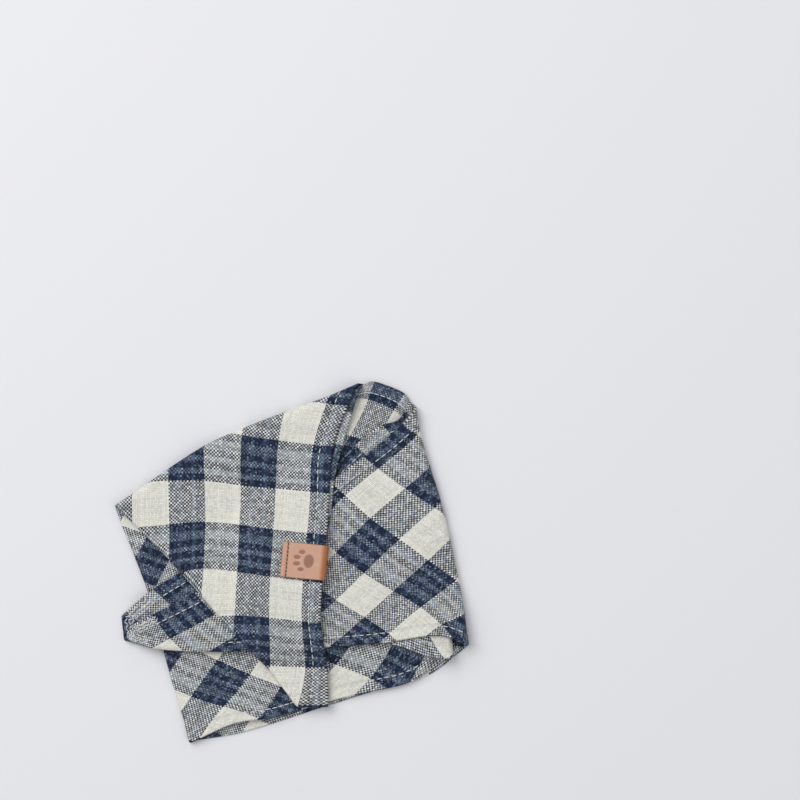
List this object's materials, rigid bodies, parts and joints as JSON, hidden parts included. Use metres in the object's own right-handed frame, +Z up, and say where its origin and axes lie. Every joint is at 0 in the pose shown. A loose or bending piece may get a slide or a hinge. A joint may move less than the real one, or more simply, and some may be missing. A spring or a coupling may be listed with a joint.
{
  "type": "dog bandana",
  "caption": "Triangle of checked woven cloth folded to a flat packet, with stitched hems and a small leather label over one edge.",
  "frame": {"origin": "centre of the packet's bounding box, on the surface it lies on", "axes": "+Z up from the surface, +Y towards the top of the packet as it lies in front of the viewer, +X to its right"},
  "size_m": [0.1478, 0.1504, 0.0108],
  "materials": {
    "gingham_cloth": "matt yarn-dyed plain weave",
    "label_leather": "smooth vegetable-tanned leather, soft sheen"
  },
  "bodies": {
    "root": {"bandana_cloth": "gingham_cloth", "leather_label": "label_leather"}
  },
  "joints": []
}
